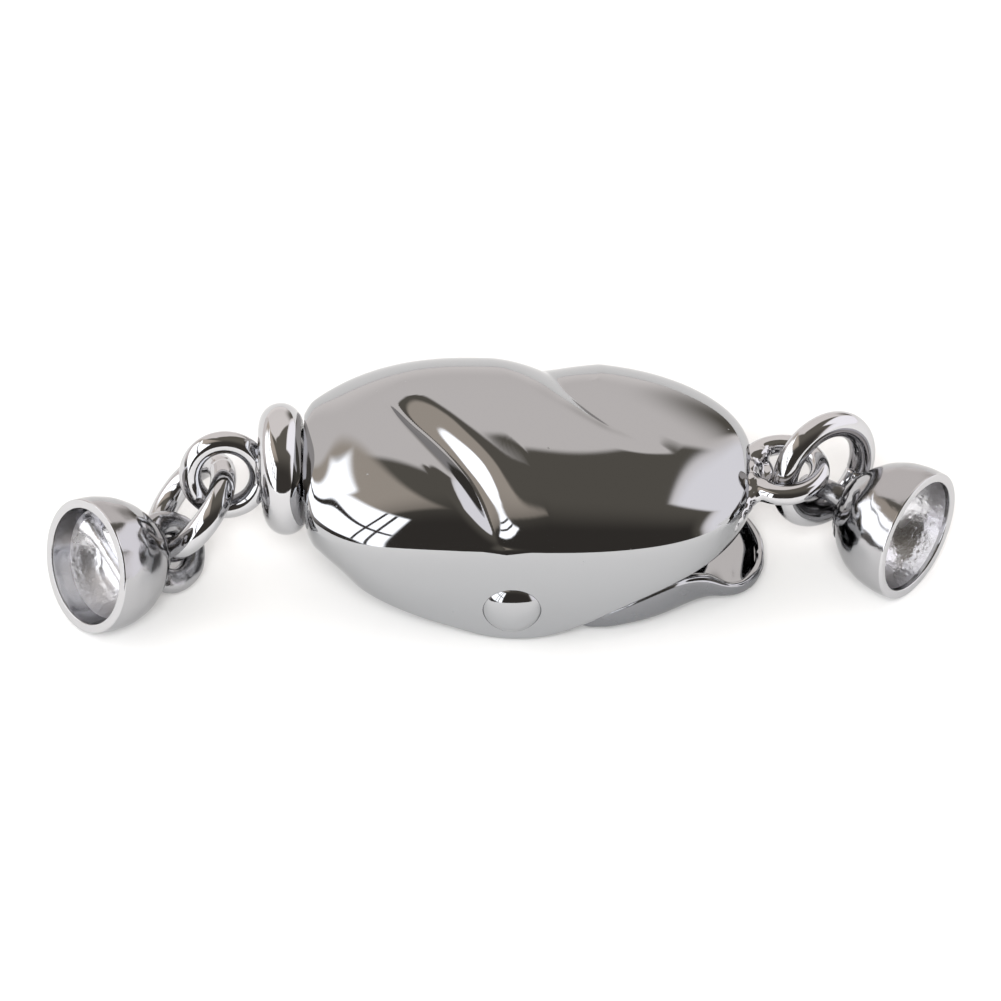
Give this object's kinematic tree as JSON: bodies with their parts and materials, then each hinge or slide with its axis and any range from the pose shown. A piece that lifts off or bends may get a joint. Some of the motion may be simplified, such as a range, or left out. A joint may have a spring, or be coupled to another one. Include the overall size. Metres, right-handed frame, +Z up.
{
  "type": "fold-over lever clasp with bead cups",
  "caption": "Domed oval fold-over clasp for a strand of beads: a lever on a rivet locks a tongue in the shell, with a ringed bead cup at each end.",
  "frame": {"origin": "middle of the whole clasp's footprint, on the surface it lies on", "axes": "+X along the clasp towards the lever's tab, +Z up, out of the shell's dome"},
  "size_m": [0.0367, 0.0118, 0.0083],
  "materials": {
    "plated_shell": "mirror-polished bright plating over cast metal",
    "plated_rivet": "bright plating on a peened rivet head",
    "plated_lever": "bright plating over cast metal, tumbled inside",
    "plated_links": "bright plating on round wire",
    "plated_cups": "bright plating outside, cast texture inside"
  },
  "bodies": {
    "clasp": {"shell": "plated_shell", "rivet": "plated_rivet", "connector": "plated_links", "jump_ring_left": "plated_links", "jump_ring_right": "plated_links", "bead_cup_left": "plated_cups", "bead_cup_right": "plated_cups"},
    "lever": {"lever": "plated_lever"}
  },
  "joints": [
    {"name": "lever_hinge", "type": "hinge", "parent": "clasp", "child": "lever", "pos_m": [0.00024, 0, 0.0022], "axis": [0, 1, 0], "range_deg": [0, 60]}
  ]
}
